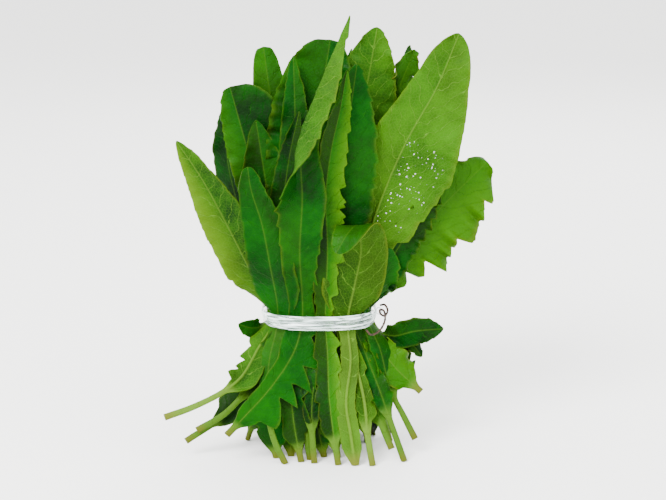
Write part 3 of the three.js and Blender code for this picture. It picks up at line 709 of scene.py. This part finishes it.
        "path": [[34, 13, 102.5], [34, 12.5, 97], [40, 8, 84], [49, 2, 70], [58, -5, 60], [67, -10, 50]],
        "face": [70, 60, 30, 20], "left": [0, 5], "right": [0, 5],
        "width": 26, "from": 0.4, "peak": 1.3,
        "lowWidth": None,
        "lobes": 0.6, "lobeGap": 11, "ripple": 2.0, "rippleGap": 20,
        "light": 0.4, "wear": 1.0,
    },
    {
        "name": "leaf_left_low_tip", "side": "upper", "seed": 30.84,
        "path": [[-32, 2, 107], [-34, 1, 97], [-39, -4, 89], [-47, -11, 88], [-57, -17, 92]],
        "face": [-80, -70, -20, 0], "left": [0, 10], "right": [0, 10],
        "width": 13, "from": 0.4, "peak": 1.2,
        "lowWidth": None,
        "lobes": 0,
        "light": 0.3,
    },
]

# The leaves of the middle and the back stand in rings round a middle that moves right and back as it rises.
backLook = {
    # leaves in the ring, its reach, and the turn of its first leaf
    "rings": [(12, 1.0, 0.45), (9, 0.74, 0.25), (6, 0.48, 0.1), (2, 0.2, 0.0)],
    "width": 30,
    "turn": 16,                           # each leaf faces this much to one side of straight out
    "heights": (48, 76, 97, 140, 190),    # of the midrib's points between foot and tip
    "facingHeight": 170,                  # the ring's round at this height sets how a leaf faces and wraps
    "tip": 270,
}


def backRound(z):
    # half width and half depth of the outer ring at a height, and how far right and back its middle lies
    above, below = max(0, z - 104), max(0, 97 - z)
    spread = 1 - math.exp(-above / 80)
    halfWidth = 28 + 58 * spread + 26 * (below / 97) ** 1.2
    return halfWidth, 19 + 38 * spread + 0.2 * below, 8 * spread, 9.5 + 36 * spread + 0.03 * below


def backLeaf(count, reach, start, k, number):
    look = backLook
    angle = (k + start) / count * 2 * math.pi
    cos, sin = math.cos(angle), math.sin(angle)
    foot = 6 + 5 * (number % 4) if number % 3 == 2 else -3  # every third one ends above the floor
    tip = look["tip"] - 22 * reach**2 + 24 * reach * cos + 9 * math.sin(number * 2.1)
    path = []
    for z in (foot, *look["heights"], tip):
        halfWidth, halfDepth, right, back = backRound(z)
        path.append((right + reach * halfWidth * cos, back + reach * halfDepth * sin, z))
    halfWidth, halfDepth, _, _ = backRound(look["facingHeight"])
    outward = math.degrees(math.atan2(cos / halfWidth, -sin / halfDepth)) + look["turn"]
    bend = reach * math.hypot(halfWidth * sin, halfDepth * cos) ** 3 / (halfWidth * halfDepth)
    wrap = -min(38, math.degrees(0.3 * look["width"] / bend))
    luck = [float(chance(number, s)) for s in (1, 2, 3, 4)]
    return {
        "name": f"leaf_back_{number:02d}", "seed": 3.1 * number,
        "side": "under" if luck[1] < 0.55 else "upper",
        "path": path, "face": [outward, outward], "left": [0, wrap, wrap], "right": [0, wrap, wrap],
        "width": look["width"] * (0.97 + 0.08 * math.sin(number * 3.3)), "from": 0.12,
        "peak": 1.35 + 0.25 * luck[0], "bluntness": 0.55 + 0.25 * luck[2], "grow": 1.12,
        "lowWidth": 25 + 13 * luck[1], "bareStem": 34 * luck[3] ** 1.5 - 4, "squeeze": 0.6,
        "lobes": [0.4, 0.4, 0.35, 0.15 * luck[3], 0.1, 0], "lobeGap": 15 + 8 * luck[3], "teeth": 1.6,
        "ripple": 1.6, "light": 0.15 + 0.45 * luck[2],
    }


for leaf in placedLeaves:
    leafPiece(leaf)
print("front leaves made")

# Drops of water on the broad right leaf: how many, over what share of its length and width, and how large.
dropLook = {"count": 110, "along": (0.42, 0.66), "across": (0.54, 0.93), "radius": (0.22, 0.7),
            "flattened": 0.45, "standsOut": 0.1}


def dropsPiece(leaf):
    look = dropLook
    points, thick = leafSheet({**leafDefaults, **leaf})[:2]
    rows, columns = thick.shape
    bpy.ops.object.select_all(action="DESELECT")
    bpy.ops.mesh.primitive_ico_sphere_add(subdivisions=2, radius=1)
    drops = bpy.context.object
    drops.name = "water_drops"
    ball = np.array([v.co for v in drops.data.vertices])
    faces = np.array([f.vertices for f in drops.data.polygons])
    places, corners = [], []
    for k in range(look["count"]):
        low, high = look["along"]
        row = int(rows * (low + (high - low) * chance(k, 1.1) ** 0.7))
        left, right = look["across"]
        column = int(columns * (left + (right - left) * chance(k, 2.3)))
        u = points[row + 1, column] - points[row - 1, column]
        v = points[row, column + 1] - points[row, column - 1]
        normal = np.cross(u, v)
        normal *= -np.sign(normal[1]) / np.linalg.norm(normal)
        least, most = look["radius"]
        radius = least + (most - least) * chance(k, 4.7) ** 2
        swollen = ball * radius
        swollen = swollen - np.outer(swollen @ normal, normal) * look["flattened"]
        lift = thick[row, column] / 2 + look["standsOut"] * radius
        corners.append(faces + len(ball) * k)
        places.append(points[row, column] + normal * lift + swollen)
    corners = np.vstack(corners).tolist()
    drops.data.clear_geometry()
    drops.data.from_pydata(((np.vstack(places) - middleOfFoot) * millimetre).tolist(), [], corners)
    drops.data.materials.append(water)
    bpy.ops.object.shade_smooth()
    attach(drops, "root")


dropsPiece(next(leaf for leaf in placedLeaves if leaf["name"] == "leaf_right_broad"))
print("drops made")
number = 0
for count, reach, start in backLook["rings"]:
    for k in range(count):
        number += 1
        leafPiece(backLeaf(count, reach, start, k, number))
print("back leaves made")

bandLook = {
    "halfWidth": 39.2, "halfDepth": 34.5, "roundness": 2.6, "height": 97, "stripWidth": 5.2, "thickness": 0.5,
    "starts": -12,               # degrees from the right
    "lift": 0.9,                 # from one turn to the next
    "apart": (5.3, 0.8),         # height from one turn to the next, and how much that changes round the bunch
    "steps": 150, "columns": 8,
    "bulge": 0.9,                # the strip's middle stands out by this
    "pucker": 0.22,              # depth of its stretch wrinkles
    "edge": 0.12,                # how far its edges are rounded
    "loop": (42.2, -15.5, 101.5), "loopRadius": 2.3, "loopHalf": 0.45,  # its end, drawn into a small loop
}


def bandSheet():
    look, rows = bandLook, 2 * bandLook["steps"]
    i = np.arange(rows + 1) / look["steps"]
    angle = math.radians(look["starts"]) + i * 2 * math.pi
    cos, sin = np.cos(angle), np.sin(angle)
    power = 2 / look["roundness"]
    x, y = np.sign(cos) * np.abs(cos) ** power, np.sign(sin) * np.abs(sin) ** power
    apart, change = look["apart"]
    z = look["height"] + (smooth(i, 0.92, 1.08) - 0.5) * (apart + change * cos)
    s = np.linspace(-1, 1, look["columns"] + 1)[None, :]
    pucker = look["pucker"] * np.sin(i * 61)[:, None] * np.sin(i * 23.3 + 2.1 * s.T).T * (1 - s**2)
    grow = look["lift"] * i[:, None] + 0.25 + look["bulge"] * (0.5 - s**2) + pucker * 0.5
    width = look["stripWidth"] / 2 * (1 - 0.1 * (0.5 + 0.5 * np.sin(i * 17))[:, None])
    return np.stack([(look["halfWidth"] + grow) * x[:, None], (look["halfDepth"] + grow) * y[:, None],
                     z[:, None] + s * width], -1)


def bandPiece():
    look = bandLook
    points = bandSheet()
    rows, columns = points.shape[:2]
    bpy.ops.object.select_all(action="DESELECT")
    bpy.ops.mesh.primitive_grid_add(x_subdivisions=columns - 1, y_subdivisions=rows - 1, size=1)
    band = bpy.context.object
    band.name = "clear_strip"
    band.data.vertices.foreach_set("co", ((points - middleOfFoot) * millimetre).ravel())
    band.data.materials.append(clearFilm)
    wall = band.modifiers.new("wall", "SOLIDIFY")
    wall.thickness = look["thickness"] * millimetre
    wall.offset = 0
    edge = band.modifiers.new("edge", "BEVEL")
    edge.width = look["edge"] * millimetre
    edge.segments = 2
    edge.limit_method = "ANGLE"
    bpy.ops.object.modifier_apply(modifier="wall")
    bpy.ops.object.modifier_apply(modifier="edge")
    bpy.ops.object.mode_set(mode="EDIT")
    bpy.ops.mesh.select_all(action="SELECT")
    bpy.ops.mesh.normals_make_consistent(inside=False)
    bpy.ops.object.mode_set(mode="OBJECT")
    bpy.ops.object.select_all(action="DESELECT")
    bpy.ops.mesh.primitive_torus_add(
        major_segments=28, minor_segments=10, major_radius=look["loopRadius"] * millimetre,
        minor_radius=look["loopHalf"] * millimetre, rotation=(1.35, 0.2, 0.35),
        location=((np.array(look["loop"]) - middleOfFoot) * millimetre).tolist())
    bpy.context.object.data.materials.append(clearFilm)
    bpy.ops.object.transform_apply(location=True, rotation=True)
    band.select_set(True)
    bpy.context.view_layer.objects.active = band
    bpy.ops.object.join()
    bpy.ops.object.shade_smooth()
    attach(band, "root")
    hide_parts("clear_band")


bandPiece()
print("band made")

# The wire curls at the top, lies against the band's right end and hooks down in front.
wireLook = {
    "radius": 0.75,
    "sides": 10,
    "route": [(43.5, -9, 104), (46.5, -12, 105), (48.5, -14, 101.5), (46.5, -16, 98), (43.5, -17, 99.5),
              (43, -19, 103), (45.5, -21, 103), (46.5, -22, 97), (42.5, -27, 90), (36.5, -31, 88),
              (33, -33, 92)],
}


def wirePiece():
    look, sides = wireLook, wireLook["sides"]
    line = alongSpline(look["route"])[::4]
    count = len(line)
    radii = look["radius"] * (1 + 0.12 * np.sin(np.arange(count) * 1.9))  # flaking rust makes it uneven
    slope = np.gradient(line, axis=0)
    slope /= np.linalg.norm(slope, axis=1)[:, None]
    first = np.cross(slope[0], (0.3, 0.2, 0.9))
    rings = []
    for point, direction, radius in zip(line, slope, radii):
        first = first - direction * first.dot(direction)
        first /= np.linalg.norm(first)
        second = np.cross(direction, first)
        a = np.arange(sides) / sides * 2 * math.pi
        rings.append(point + radius * (np.cos(a)[:, None] * first + np.sin(a)[:, None] * second))
    faces = [tuple(range(sides))[::-1], tuple((count - 1) * sides + k for k in range(sides))]
    for i in range(count - 1):
        for k in range(sides):
            here, beside = i * sides + k, i * sides + (k + 1) % sides
            faces.append((here, beside, beside + sides, here + sides))
    bpy.ops.object.select_all(action="DESELECT")
    bpy.ops.mesh.primitive_cylinder_add(vertices=sides, radius=1, depth=1, end_fill_type="NGON")
    wire = bpy.context.object
    wire.name = "rusty_twist"
    wire.data.clear_geometry()
    wire.data.from_pydata(((np.vstack(rings) - middleOfFoot) * millimetre).tolist(), [], faces)
    wire.data.update()
    bpy.ops.object.shade_smooth_by_angle(angle=math.radians(40))
    wire.data.materials.append(rustyWire)
    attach(wire, "root")
    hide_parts("twist_wire")


wirePiece()
print("wire made")

stageLook = {
    "floor": "#f4f4f2",
    "key": (-0.9, -1.5, 1.5, 1.0, 130),   # x, y, z and size in metres, and watts
    "fill": (1.3, -1.2, 0.8, 1.3, 18),
    "back": (0.4, 1.4, 1.4, 1.0, 27),
    "lightsAim": (0, 0, 0.14),
    "world": 3.0,
    "cameraTarget": (0.0053, -0.0279, 0.1464),
    "cameraDistance": 1.3,
    "cameraRise": 12,
    "lens": 100.4,
}


def makeStage():
    look = stageLook
    bpy.ops.object.select_all(action="DESELECT")
    bpy.ops.mesh.primitive_plane_add(size=12, location=(0, 0, -0.0002))
    floor = bpy.context.object
    floor.name = "floor"
    # Matt white paper, pressed smooth: it takes a soft shadow and shows no gloss.
    m = newMaterial("paper_matt_white")
    surface = addNode(m, "BsdfPrincipled", inputs={"Base Color": hexColour(look["floor"]), "Roughness": 0.9})
    addNode(m, "OutputMaterial", inputs={0: (surface, 0)})
    floor.data.materials.append(m)
    for name in ("key", "fill", "back"):
        x, y, z, size, watts = look[name]
        bpy.ops.object.light_add(type="AREA", location=(x, y, z))
        light = bpy.context.object
        light.name = name + "_light"
        light.data.size = size
        light.data.energy = watts
        aim = Vector(look["lightsAim"]) - light.location
        light.rotation_euler = aim.to_track_quat("-Z", "Y").to_euler()
    world = bpy.data.worlds.new("studio")
    bpy.context.scene.world = world
    world.use_nodes = True
    world.node_tree.nodes["Background"].inputs[0].default_value = (1, 1, 1, 1)
    world.node_tree.nodes["Background"].inputs[1].default_value = look["world"]
    rise = math.radians(look["cameraRise"])
    target = Vector(look["cameraTarget"])
    place = target + look["cameraDistance"] * Vector((0, -math.cos(rise), math.sin(rise)))
    bpy.ops.object.camera_add(location=place)
    camera = bpy.context.object
    camera.rotation_euler = (target - place).to_track_quat("-Z", "Y").to_euler()
    camera.data.lens = look["lens"]
    camera.data.sensor_width = 36
    bpy.context.scene.camera = camera


makeStage()
print("stage made")
